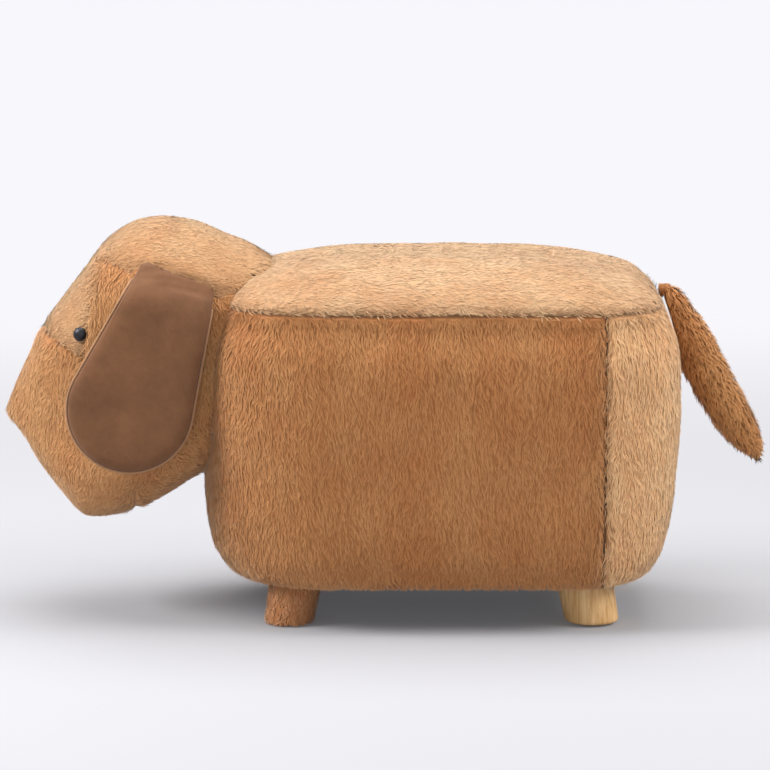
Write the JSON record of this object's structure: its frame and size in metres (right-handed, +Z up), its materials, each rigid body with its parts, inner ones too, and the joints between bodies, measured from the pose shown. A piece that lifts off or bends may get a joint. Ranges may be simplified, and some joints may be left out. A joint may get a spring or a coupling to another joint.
{
  "type": "animal footstool",
  "caption": "Padded footstool in the shape of a lying puppy, with short legs, hanging ears that lift and a tail that wags and lifts.",
  "frame": {"origin": "on the floor, under the middle of the overall length and width", "axes": "+X from the nose towards the tail, +Y towards the animal's right side, +Z up"},
  "size_m": [0.662, 0.28, 0.3455],
  "materials": {
    "plush": "short cut pile",
    "ear_suede": "smooth brushed suede cloth",
    "ear_rim": "turned edge",
    "leg_wood": "clear satin lacquer",
    "board": "raw plywood",
    "foam": "open-cell foam",
    "filling": "loose fibre",
    "steel": "zinc plated",
    "glide_plastic": "matte",
    "washer_plastic": "matte",
    "eye_black": "polished",
    "nonwoven": "matte"
  },
  "bodies": {
    "stool": {"seat_cover": "plush", "flank_cover_left": "plush", "flank_cover_right": "plush", "rump_cover": "plush", "crown_cover": "plush", "cheek_cover_left": "plush", "cheek_cover_right": "plush", "muzzle_cover": "plush", "throat_cover": "plush", "leg_sock_front_left": "plush", "leg_sock_front_right": "plush", "seat_foam": "foam", "front_foam": "foam", "rump_foam": "foam", "side_foam_left": "foam", "side_foam_right": "foam", "head_filling": "filling", "seat_board": "board", "base_board": "board", "side_rail_left": "board", "side_rail_right": "board", "front_bulkhead": "board", "rear_bulkhead": "board", "glue_blocks": "board", "leg_front_left": "leg_wood", "glide_front_left": "glide_plastic", "leg_front_right": "leg_wood", "glide_front_right": "glide_plastic", "leg_rear_left": "leg_wood", "glide_rear_left": "glide_plastic", "leg_rear_right": "leg_wood", "glide_rear_right": "glide_plastic", "frame_screws": "steel", "hanger_bolts": "steel", "tee_nuts": "steel", "dust_cover": "nonwoven", "eye_left": "eye_black", "eye_washer_left": "washer_plastic", "eye_right": "eye_black", "eye_washer_right": "washer_plastic"},
    "ear_left": {"ear_left_batting": "filling", "ear_left_outer": "ear_suede", "ear_left_lining": "ear_suede", "ear_left_rim": "ear_rim"},
    "ear_right": {"ear_right_batting": "filling", "ear_right_outer": "ear_suede", "ear_right_lining": "ear_suede", "ear_right_rim": "ear_rim"},
    "tail_base": {"tail_neck": "plush"},
    "tail": {"tail_cover": "plush", "tail_filling": "filling"}
  },
  "joints": [
    {"name": "ear_left_lift", "type": "hinge", "parent": "stool", "child": "ear_left", "pos_m": [-0.1765, -0.0911, 0.3006], "axis": [-0.9373, 0, 0.3486], "range_deg": [0, 110]},
    {"name": "ear_right_lift", "type": "hinge", "parent": "stool", "child": "ear_right", "pos_m": [-0.1765, 0.0911, 0.3006], "axis": [0.9373, 0, -0.3486], "range_deg": [0, 110]},
    {"name": "tail_wag", "type": "hinge", "parent": "stool", "child": "tail_base", "pos_m": [0.249, 0, 0.281], "axis": [1, 0, 0], "range_deg": [-35, 35]},
    {"name": "tail_lift", "type": "hinge", "parent": "tail_base", "child": "tail", "pos_m": [0.25582, 0, 0.281], "axis": [0, -1, 0], "range_deg": [0, 70]}
  ]
}
